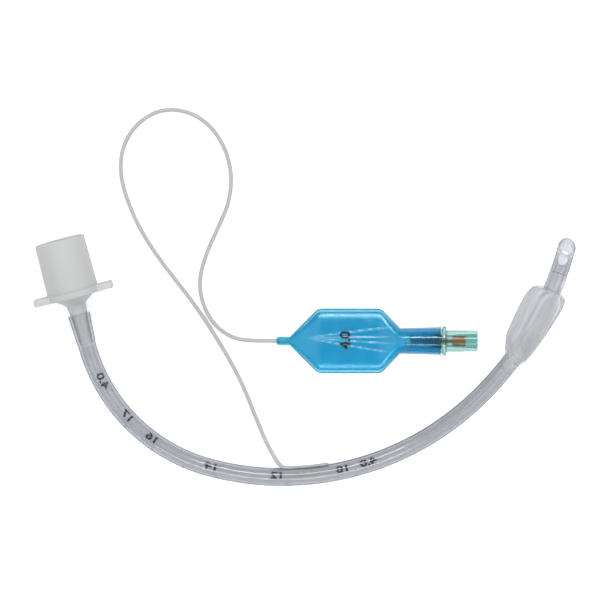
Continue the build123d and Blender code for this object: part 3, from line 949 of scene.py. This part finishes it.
def pouch_rows(thin_r, half_width, half_thick, wide_r):
    """Rows of (along, half width, half thickness) over the pouch, with rounded shoulders."""
    reach = pouch_corner * tan(shoulder_turn / 2)
    rows = [(thin_neck_length, thin_r, thin_r), (valve_neck_start, wide_r, wide_r)]
    for step in range(7):
        turn = shoulder_turn * step / 6
        half = half_width - pouch_corner * (1 - cos(turn))
        along = pouch_corner * sin(turn) - reach
        for at, neck in ((pouch_start - along, thin_r), (pouch_end + along, wide_r)):
            share = (half - neck) / (half_width - neck)
            rows.append((at, half, neck + share * (half_thick - neck)))
    rows.sort()
    dense = []
    for low, high in zip(rows, rows[1:]):
        count = max(1, round((high[0] - low[0]) / (0.3 * mm)))
        for step in range(count):
            share = step / count
            dense.append(tuple(a + (b - a) * share for a, b in zip(low, high)))
    return dense + [rows[-1]]


crease_start = (8.6 * mm, 0.9 * mm)
crease_ends = [(35.6 * mm, 4.3 * mm), (35.6 * mm, 1.3 * mm), (35.6 * mm, -0.8 * mm), (34.7 * mm, -3.5 * mm)]
crease_width = 0.2 * mm
crease_height = 0.16 * mm


def crease_share(along, side):
    """1 on a crease of the pouch's upper sheet and 0 away from it."""
    most = 0.0
    along -= crease_start[0]
    side -= crease_start[1]
    for end_along, end_side in crease_ends:
        run = (end_along - crease_start[0], end_side - crease_start[1])
        t = (along * run[0] + side * run[1]) / (run[0] ** 2 + run[1] ** 2)
        if 0 < t < 1:
            gap = sqrt((along - t * run[0]) ** 2 + (side - t * run[1]) ** 2)
            grown_in = min(1.0, t * 5, (1 - t) * 8)
            most = max(most, grown_in * exp(-((gap / crease_width) ** 2)))
    return most


def pouch_ring(row, creased=False):
    """Points round one row of the pouch."""
    along, half, thick = row
    points = []
    for angle in angles_round(160):
        side, up = half * cos(angle), thick * sin(angle)
        if creased and sin(angle) > 0:
            up += crease_height * crease_share(along, side) * sin(angle)
        points.append(by_pilot(along, side, up))
    return points


outer_rows = pouch_rows(neck_tip_r, pouch_half, pouch_thick, valve_neck_r)
inner_rows = pouch_rows(
    neck_bore_r, pouch_half - 1.0 * mm, pouch_thick - balloon_wall, valve_neck_r - balloon_wall
)
thin_neck_rows = [(0.0, 0.7), (0.1, 0.92), (0.32, 1.13), (0.7, 1.25), (1.1, neck_tip_r / mm)]
valve_neck_rows = [
    (41.0, 3.95),
    (45.0, 4.07),
    (48.9, 4.18),
    (49.0, 4.36),
    (49.1, 4.4),
    (49.4, 4.4),
    (49.5, 4.34),
    (49.5, 3.77),
    (45.0, 3.64),
]
balloon_rings = [pouch_ring((along * mm, radius * mm, radius * mm)) for along, radius in thin_neck_rows]
balloon_rings += [pouch_ring(row, creased=True) for row in outer_rows]
balloon_rings += [pouch_ring((along * mm, radius * mm, radius * mm)) for along, radius in valve_neck_rows]
balloon_rings += [pouch_ring(row) for row in reversed(inner_rows)]
balloon_rings += [pouch_ring((0.0, neck_bore_r, neck_bore_r))]
balloon = skin("pilot_balloon_wall", balloon_rings)


def weld_share(along, side):
    """1 in the middle of the pouch's welded edge, which is painted paler there, partly as a painted
    highlight, and 0 at its outline and over the rest of it.
    """
    if not outer_rows[0][0] < along < outer_rows[-1][0]:
        return 0.0
    place = max(i for i in range(len(outer_rows) - 1) if outer_rows[i][0] <= along)
    low, high = outer_rows[place], outer_rows[place + 1]
    share = (along - low[0]) / (high[0] - low[0])
    half = low[1] + (high[1] - low[1]) * share
    slope = atan2(high[1] - low[1], high[0] - low[0])
    gap = (half - abs(side)) * cos(slope) / mm
    size = limited((half / mm - 3.0) / 3.0)
    return size * exp(-(((gap - 0.62) / 0.42) ** 4))


wall_places = [pilot_place(vertex.co) for vertex in balloon.data.vertices]
mark(balloon, "crease", [crease_share(along, side) if up > 0 else 0.0 for along, side, up in wall_places])
mark(balloon, "weld_highlight", [weld_share(along, side) for along, side, _ in wall_places])
mark(balloon, "neck", [limited((along - valve_neck_start) / (1.5 * mm)) for along, _, _ in wall_places])

# Blue PVC: clear and glossy. It is painted deeper blue along its outline as painted shade, and paler along
# its welded edges, partly as a painted highlight. Its creases are painted whiter, partly where they have
# strained it and partly as painted highlights, and it is clearest on the neck, where the cement has wetted it
blue_pvc, blue_tree, blue_shader = new_finish("clear_blue_pvc", {"IOR": 1.53})
strain_and_highlight, weld_and_highlight, wetted = [
    add_node(blue_tree, "ShaderNodeAttribute", attribute_name=name).outputs["Fac"]
    for name in ("crease", "weld_highlight", "neck")
]
blue_colour = layered(
    blue_tree,
    "#0BB8D6",
    (uneven(blue_tree, 5.0 * mm, 0.0, 1.0), "#1EC0DA"),
    # Thicker welded edge, painted paler: partly its own colour, partly a painted highlight
    (weld_and_highlight, "#9AD2DF"),
    # Creases painted whiter: partly strain whitening, partly painted highlights
    (strain_and_highlight, "#BFE2EC"),
    (wetted, "#4FC0E6"),
    # Painted shade: the blue darkens towards the pouch's outline
    (edge_on(blue_tree, 0.4, 0.7), "#063A78"),
)
blue_clear = add_node(blue_tree, "ShaderNodeMapRange", {"Value": strain_and_highlight, "To Min": 0.88, "To Max": 0.62})
wet_clears = {0: wetted, 1: 0.1, 2: blue_clear}
blue_through = add_node(blue_tree, "ShaderNodeMath", wet_clears, operation="MULTIPLY_ADD")
blue_polish = add_node(blue_tree, "ShaderNodeMapRange", {"Value": wetted, "To Min": 1.0, "To Max": 0.12})
polished = {0: uneven(blue_tree, 2.0 * mm, 0.12, 0.24), 1: blue_polish}
blue_rough = add_node(blue_tree, "ShaderNodeMath", polished, operation="MULTIPLY")
blue_looks = {"Base Color": blue_colour, "Transmission Weight": blue_through, "Roughness": blue_rough}
supply(blue_tree, blue_shader, blue_looks)
fit(balloon, blue_pvc, "blue_pvc", "tube", "pilot_balloon")
balloon.visible_shadow = False


def on_pouch(x, y, lift):
    """Lays figures across the pouch's upper sheet, to be read from its right-hand side."""
    along, side = 20.9 * mm - y, 0.3 * mm + x
    up = pouch_thick * sqrt(1 - (side / pouch_half) ** 2) + crease_height * crease_share(along, side)
    return by_pilot(along, side, up + 0.004 * mm + lift)


balloon_mark = lettering("balloon_mark", "4.0", 4.3 * mm, on_pouch)
fit(balloon_mark, ink, None, "tube")

# Valve housing: clear teal polycarbonate, moulded. Its skirt is cemented in the balloon's wide neck, and its
# outer end is a Luer socket that takes a syringe.
luer_root = 52.95 * mm
throat_end = 50.75 * mm
seat_at = 49.7 * mm
housing_start = 39.45 * mm
flange_far = 51.05 * mm
housing_end = 60.45 * mm
skirt_bore_r = 2.3 * mm
skirt_r = 3.73 * mm
socket_r = 3.2 * mm
socket_root_r = 1.75 * mm
throat_r = 0.95 * mm


def turned(name, stations, steps=96, closed=True):
    """A turned piece on the balloon's axis, from an outline of (along, radius)."""
    rings = []
    for along, radius in stations:
        angles = angles_round(steps) if radius > 0 else [0.0]
        rings.append([by_pilot(along, radius * cos(angle), radius * sin(angle)) for angle in angles])
    return skin(name, rings, closed)


housing = turned(
    "valve_housing_body",
    [
        (housing_start, skirt_bore_r),
        (housing_start, 3.44 * mm),
        (neck_end, skirt_r),
        (flange_at, skirt_r),
        (flange_at, housing_flange_r - 0.15 * mm),
        (flange_at + 0.15 * mm, housing_flange_r),
        (flange_far - 0.15 * mm, housing_flange_r),
        (flange_far, housing_flange_r - 0.15 * mm),
        (flange_far, socket_r + 0.15 * mm),
        (flange_far + 0.15 * mm, socket_r),
        (housing_end - 0.15 * mm, 3.15 * mm),
        (housing_end, 3.0 * mm),
        (housing_end, 2.28 * mm),
        (housing_end - 0.15 * mm, 2.135 * mm),
        (luer_root, 1.91 * mm),
        (luer_root, socket_root_r),
        (throat_end, socket_root_r),
        (throat_end, throat_r),
        (seat_at, throat_r),
        (seat_at, skirt_bore_r),
    ],
)
sleeve_depths = [neck_end - pilot_place(vertex.co)[0] for vertex in housing.data.vertices]
mark(housing, "sleeve", [limited(depth / (0.3 * mm)) for depth in sleeve_depths])

# Clear polycarbonate with a teal tint, polished by the mould, so its bore and steps show through it. Its
# colour is painted dark towards its edges, as painted shade. It is paler inside the balloon's neck, where the
# cement holds the two together.
teal_pc, teal_tree, teal_shader = new_finish(
    "clear_teal_polycarbonate", {"IOR": 1.58, "Transmission Weight": 0.99}, (1.5 * mm, 0.015, 0.05)
)
sleeved = add_node(teal_tree, "ShaderNodeAttribute", attribute_name="sleeve").outputs["Fac"]
# Painted shade: the teal darkens towards the housing's edges
teal_colour = layered(
    teal_tree, "#9FCAC4", (edge_on(teal_tree, 0.4, 0.75), "#1D5A5C"), (sleeved, "#D6EEEC")
)
supply(teal_tree, teal_shader, {"Base Color": teal_colour})
fit(housing, teal_pc, "teal_polycarbonate", "tube", "valve_housing")
housing.visible_shadow = False

# Valve plunger: amber acetal, moulded with its head in the socket, where a syringe's tip pushes it in.
# Its stem passes through the seat to the disc that carries the seal.
backing_at = 47.2 * mm
disc_r = 1.9 * mm
stem_rod_r = 0.5 * mm
head_r = 1.53 * mm
head_length = 3.9 * mm
plunger = turned(
    "valve_plunger_body",
    [
        (backing_at, 0.0),
        (backing_at, disc_r - 0.1 * mm),
        (backing_at + 0.1 * mm, disc_r),
        (backing_at + 0.5 * mm, disc_r),
        (backing_at + 0.6 * mm, disc_r - 0.1 * mm),
        (backing_at + 0.6 * mm, stem_rod_r),
        (luer_root, stem_rod_r),
        (luer_root, head_r - 0.1 * mm),
        (luer_root + 0.1 * mm, head_r),
        (luer_root + head_length - 0.2 * mm, head_r),
        (luer_root + head_length, head_r - 0.2 * mm),
        (luer_root + head_length, 0.0),
    ],
    steps=64,
    closed=False,
)

# Acetal: opaque, slightly waxy, amber to brown
amber, amber_tree, amber_shader = new_finish(
    "amber_moulded_acetal",
    {
        "IOR": 1.48,
        "Subsurface Weight": 0.12,
        "Subsurface Radius": (1.0, 0.6, 0.2),
        "Subsurface Scale": 0.4 * mm,
    },
    (0.5 * mm, 0.28, 0.4),
)
amber_colour = layered(amber_tree, "#C65E02", (uneven(amber_tree, 1.0 * mm, 0.0, 1.0), "#DA7408"))
supply(amber_tree, amber_shader, {"Base Color": amber_colour})
fit(plunger, amber, "amber_acetal", "plunger", "valve_plunger")

# Valve seal: a ring of dark silicone rubber, moulded and stretched over the plunger's stem. The spring
# presses it on the housing's seat, which keeps the cuff's air in.
seal_r = 2.0 * mm
seal_bore_r = 0.52 * mm
seal_start = seat_at - 1.9 * mm
seal = turned(
    "valve_seal_ring",
    [
        (seal_start, seal_bore_r),
        (seal_start, seal_r - 0.2 * mm),
        (seal_start + 0.2 * mm, seal_r),
        (seat_at - 0.2 * mm, seal_r),
        (seat_at, seal_r - 0.2 * mm),
        (seat_at, seal_bore_r),
    ],
    steps=64,
)

# Silicone rubber: soft, matt and nearly black
silicone, silicone_tree, silicone_shader = new_finish(
    "dark_silicone_rubber", {"IOR": 1.41}, (0.3 * mm, 0.5, 0.66)
)
silicone_colour = layered(silicone_tree, "#24292E", (uneven(silicone_tree, 0.8 * mm, 0.0, 1.0), "#333A40"))
supply(silicone_tree, silicone_shader, {"Base Color": silicone_colour})
fit(seal, silicone, "dark_silicone", "plunger", "valve_seal")

# Spring retainer: a vented plug of the same polypropylene as the connector, moulded and pressed in the
# housing's inner end. The spring stands on it.
vent_r = 0.5 * mm
plug_r = 2.29 * mm
boss_r = 1.35 * mm
retainer = turned(
    "spring_retainer_plug",
    [
        (housing_start - 0.75 * mm, vent_r),
        (housing_start - 0.75 * mm, boss_r - 0.1 * mm),
        (housing_start - 0.65 * mm, boss_r),
        (housing_start, boss_r),
        (housing_start, plug_r),
        (housing_start + 0.75 * mm, plug_r),
        (housing_start + 0.75 * mm, vent_r),
    ],
    steps=64,
)
fit(retainer, natural_pp, "natural_polypropylene", "tube", "spring_retainer")

# Valve spring: stainless steel wire, coiled between the retainer and the plunger's disc. It gets shorter as
# the plunger is pushed in.
spring_low = 40.37 * mm
spring_high = 47.03 * mm
spring_seed = placed("valve_spring_coil", bpy.data.meshes.new("valve_spring_coil"))

# Drawn steel wire, set darker than bare steel, because inside the housing it mirrors mostly shade
steel, _, _ = new_finish(
    "bright_drawn_steel_wire", {"Base Color": "#3E4144", "Metallic": 1.0}, (0.4 * mm, 0.2, 0.34)
)
coil_tree, coil_in = new_tree("wound_spring", ["Turns", "Radius", "Height", "Wire"])
spiral_in = {
    "Resolution": 40,
    "Rotations": coil_in["Turns"],
    "Start Radius": coil_in["Radius"],
    "End Radius": coil_in["Radius"],
    "Height": coil_in["Height"],
}
coil_path = add_node(coil_tree, "GeometryNodeCurveSpiral", spiral_in)
wire_in = {"Resolution": 14, "Radius": coil_in["Wire"]}
coil_wire = add_node(coil_tree, "GeometryNodeCurvePrimitiveCircle", wire_in)
coil_solid_in = {"Curve": coil_path, "Profile Curve": coil_wire, "Fill Caps": True}
coil_solid = add_node(coil_tree, "GeometryNodeCurveToMesh", coil_solid_in)
end_tree(coil_tree, coil_in, add_node(coil_tree, "GeometryNodeSetShadeSmooth", {"Geometry": coil_solid}))
coil_values = {
    "Turns": 7.5,
    "Radius": 1.23 * mm,
    "Height": spring_high - spring_low,
    "Wire": 0.17 * mm,
    "Finish": steel,
}
spring = grown(spring_seed, coil_tree, coil_values)
spring_place = Matrix((pilot_side, pilot_up, pilot_along)).transposed().to_4x4()
spring_place.translation = by_pilot(spring_low, 0, 0)
spring.data.transform(spring_place)
if spring_place.determinant() < 0:
    spring.data.flip_normals()
fit(spring, steel, "spring_steel", "tube", "valve_spring")
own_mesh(spring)
